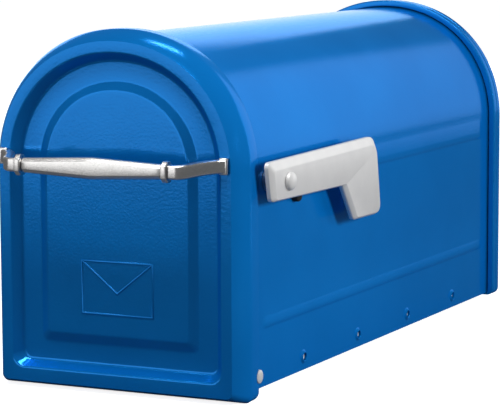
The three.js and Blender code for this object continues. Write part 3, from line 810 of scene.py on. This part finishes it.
def rounded_outline(corners, radii, steps=7):
    """Replaces each corner by an arc-like bend of its radius."""
    reaches = []
    count = len(corners)
    for i, radius in enumerate(radii):
        into = (Vector(corners[i]) - Vector(corners[i - 1])).normalized()
        out = (Vector(corners[(i + 1) % count]) - Vector(corners[i])).normalized()
        reaches.append(radius * math.tan(into.angle(out) / 2))
    return soften(corners, reaches, steps, closed=True)


def flag_plate():
    """The flag: one plate with a wide bevel on top and at its pivot end."""
    back, face = FLAG_LOW.x, FLAG_HIGH.x
    shoulder = face - FLAG_BEVEL_DEPTH
    stages = [(back, 0.06), (back + 0.4, 0), (shoulder - 0.3, 0), (shoulder + 0.15, 0.07)]
    stages += [(face - 0.25, 0.88), (face - 0.06, 0.96), (face, 1.03)]
    rings = []
    for x, share in stages:
        corners = inset_outline(FLAG_CORNERS, [width * share for width in FLAG_BEVELS])
        radii = [max(radius - 1.6 * share, 2) for radius in FLAG_RADII]
        rings.append([(x, y, z) for y, z in rounded_outline(corners, radii)])
    return loft(rings)


def flag():
    make_piece("flag_plate", [flag_plate()], "flag", ALUMINIUM, ["flag_arm"])
    face = FLAG_HIGH.x + GAP
    head = [(r, face + rise) for r, rise in dome(6.9, 4.9, 1.5)]
    shank = [(0, 90), (3, 90), (3, face)]
    bolt = turned(shank + head, FLAG_PIVOT)
    make_piece("flag_bolt_dome", [bolt], "housing", ALUMINIUM, ["flag_bolt"])
    stop_low, stop_high = node_box("flag_stop")
    seat = BODY_HALF + GAP
    radius = (stop_high.z - stop_low.z) / 2
    bumper = [
        (0, stop_low.x),
        (3.4, stop_low.x),
        (3.4, stop_low.x + 2.2),
        (2, stop_low.x + 2.2),
        (2, seat),
        (radius - 0.3, seat),
        (radius, seat + 0.4),
        (radius, stop_high.x - 1.6),
        (radius - 0.3, stop_high.x - 0.7),
        (radius - 1, stop_high.x - 0.15),
        (radius - 1.8, stop_high.x),
        (0, stop_high.x),
    ]
    stop = turned(bumper, node_centre("flag_stop"))
    make_piece("flag_stop_bumper", [stop], "housing", RUBBER, ["flag_stop"])


# ---- CAD nodes that stay in view ----

KEPT = {
    "front_hoop": BLUE,
    "floor_pan": ZINC,
    "hinge_spacer_": NYLON,
    "hinge_ear_": ZINC,
    "door_bumper_": RUBBER,
    "strike_plate": ZINC,
    "catch_bracket": ZINC,
    "catch_magnet": FERRITE,
    "catch_screw": ZINC,
    "floor_rivet_": ZINC,
    "rear_rivet_": BLUE,
    "handle_stud_": ZINC,
    "flag_boss": ZINC,
    "flag_hub": NYLON,
    "flag_lug": NYLON,
    "flag_washer": ZINC,
    "flag_nut": ZINC,
}


def kept_nodes():
    """Gives each CAD node that stays its finish, and softens its edges with a small bevel."""
    for prefix, material in KEPT.items():
        for name, node in frame["nodes"].items():
            if name.startswith(prefix):
                node.data.materials.clear()
                node.data.materials.append(material)
                soft = node.modifiers.new("soft edges", "BEVEL")
                soft.width = 0.25 * MM
                soft.segments = 2
                soft.limit_method = "ANGLE"
                soft.angle_limit = math.radians(50)


# ---- stage ----

FLOOR_REACH = 60
# Size of the unlit patch under the object's middle, in metres: a painted shadow on the floor.
PAINTED_SHADOW_HALF_WIDTH = 0.06
PAINTED_SHADOW_HALF_LENGTH = 0.225
PAINTED_SHADOW_FADE = 0.15  # share of those lengths, to each side, over which the glow comes in at the painted shadow's soft edge
FLOOR_DROP = 0.0002  # below the object's lowest point
BOUNCE_DROP = 0.0006


def softbox(name, centre, size, aim, radiance):
    """A flat light of an even brightness that the camera doesn't see."""
    data = bpy.data.lights.new(name, "AREA")
    data.shape = "RECTANGLE"
    data.size, data.size_y = size
    data.energy = 4 * radiance * size[0] * size[1]
    light = bpy.data.objects.new(name, data)
    light.location = centre
    light.rotation_euler = (Vector(aim) - Vector(centre)).to_track_quat("-Z", "Y").to_euler()
    bpy.context.scene.collection.objects.link(light)
    return light


def glow_with_painted_shadow(tree, shader, glow):
    """Lights the floor from within all round the object, and leaves it unlit under its middle as a painted
    shadow.
    """
    place = tree.nodes.new("ShaderNodeTexCoord")
    mapping = tree.nodes.new("ShaderNodeMapping")
    mapping.inputs["Scale"].default_value = (1 / PAINTED_SHADOW_HALF_WIDTH, 1 / PAINTED_SHADOW_HALF_LENGTH, 0)
    size = tree.nodes.new("ShaderNodeVectorMath")
    size.operation = "ABSOLUTE"
    split = tree.nodes.new("ShaderNodeSeparateXYZ")
    further = tree.nodes.new("ShaderNodeMath")
    further.operation = "MAXIMUM"
    spread = tree.nodes.new("ShaderNodeMapRange")
    spread.inputs["From Min"].default_value = 1 - PAINTED_SHADOW_FADE
    spread.inputs["From Max"].default_value = 1 + PAINTED_SHADOW_FADE
    spread.inputs["To Max"].default_value = glow
    tree.links.new(place.outputs["Object"], mapping.inputs["Vector"])
    tree.links.new(mapping.outputs["Vector"], size.inputs[0])
    tree.links.new(size.outputs["Vector"], split.inputs["Vector"])
    tree.links.new(split.outputs["X"], further.inputs[0])
    tree.links.new(split.outputs["Y"], further.inputs[1])
    tree.links.new(further.outputs["Value"], spread.inputs["Value"])
    tree.links.new(spread.outputs["Result"], shader.inputs["Emission Strength"])


def floor_plane(name, level, low, high, glow):
    """A level plane with a faintly uneven pale surface, lit from within like a light table."""
    reach = FLOOR_REACH
    square = [(-reach, -reach), (reach, -reach), (reach, reach), (-reach, reach)]
    corners = [(x, y, level) for x, y in square]
    mesh = bpy.data.meshes.new(name)
    mesh.from_pydata(corners, [], [(0, 1, 2, 3)])
    material, tree, shader = new_material(name, Roughness=0.9, Specular_IOR_Level=0.1)
    shader.inputs["Emission Color"].default_value = (1, 1, 1, 1)
    colour_between(tree, shader, noise(tree, 3, 2), low, high)
    # The glow leaves out a patch under the object: a painted shadow.
    if glow:
        glow_with_painted_shadow(tree, shader, glow)
    mesh.materials.append(material)
    plane = bpy.data.objects.new(name, mesh)
    bpy.context.scene.collection.objects.link(plane)
    return plane


def floor():
    """The white floor that shows, and a greyer one that takes its place in reflections and bounced light."""
    shown = floor_plane("floor", cad_low.z - FLOOR_DROP, (0.82, 0.83, 0.84), (0.84, 0.85, 0.86), 0.85)
    shown.visible_diffuse = False
    shown.visible_glossy = False
    greyer = ((0.55, 0.555, 0.56), (0.60, 0.605, 0.61))
    bounce = floor_plane("floor_bounce", cad_low.z - BOUNCE_DROP, *greyer, 0)
    bounce.visible_camera = False
    bounce.visible_shadow = False


def world(strength):
    sky = bpy.data.worlds.new("studio")
    sky.use_nodes = True
    background = sky.node_tree.nodes["Background"]
    background.inputs["Color"].default_value = (0.97, 0.985, 1, 1)
    background.inputs["Strength"].default_value = strength
    bpy.context.scene.world = sky


def lights():
    """Boxes round a studio table. The key is near the door's plane and the strip lights the door's bevel."""
    key = softbox("key", (0.75, -0.262, 0.30), (0.14, 0.14), (0.1, -0.1, 0.12), 62)
    key.visible_glossy = False
    softbox("overhead", (-0.02, -0.75, 1.35), (1.15, 0.26), (0, -0.3, 0.1), 14)
    softbox("bevel_strip", (-0.02, 0.04, 1.40), (0.42, 0.12), (0, -0.26, 0.24), 9)
    rear_side = softbox("rear_side", (0.9, 0.5, 0.22), (0.3, 0.3), (0.1, 0.15, 0.08), 8)
    rear_side.visible_glossy = False
    softbox("front_left", (-0.62, -1.5, 0.42), (1.5, 0.9), (0, -0.27, 0.12), 1.15)
    softbox("back_right", (1.75, 2.9, 0.95), (3.0, 2.1), (1.0, 0, 0.7), 0.62)
    softbox("back_left", (-1.85, 2.9, 0.8), (2.3, 1.8), (-0.5, 0, 0.4), 1.5)


CAMERA_TARGET = Vector((0.1131, -0.270, 0.1207))
CAMERA_DISTANCE = 1.7127
CAMERA_YAW = math.radians(26)
CAMERA_PITCH = math.radians(7.26)
CAMERA_ROLL = math.radians(-0.22)
CAMERA_LENS = 170.98
CAMERA_FILM = 36


def camera():
    data = bpy.data.cameras.new("view")
    data.lens = CAMERA_LENS
    data.sensor_width = CAMERA_FILM
    data.clip_end = 200
    view = bpy.data.objects.new("view", data)
    forward = Vector((
        -math.sin(CAMERA_YAW) * math.cos(CAMERA_PITCH),
        math.cos(CAMERA_YAW) * math.cos(CAMERA_PITCH),
        -math.sin(CAMERA_PITCH),
    ))
    view.location = CAMERA_TARGET - forward * CAMERA_DISTANCE
    turn = forward.to_track_quat("-Z", "Y").to_matrix()
    right = turn.col[0] * math.cos(CAMERA_ROLL) + turn.col[1] * math.sin(CAMERA_ROLL)
    up = right.cross(forward)
    for axis, vector in enumerate((right, up, -forward)):
        turn.col[axis] = vector
    view.rotation_euler = turn.to_euler()
    bpy.context.scene.collection.objects.link(view)
    bpy.context.scene.camera = view


body()
rear_cap()
door()
hinge_rivets()
handle()
flag()
kept_nodes()
floor()
world(0.2)
lights()
camera()
bpy.context.scene.view_settings.view_transform = "Standard"
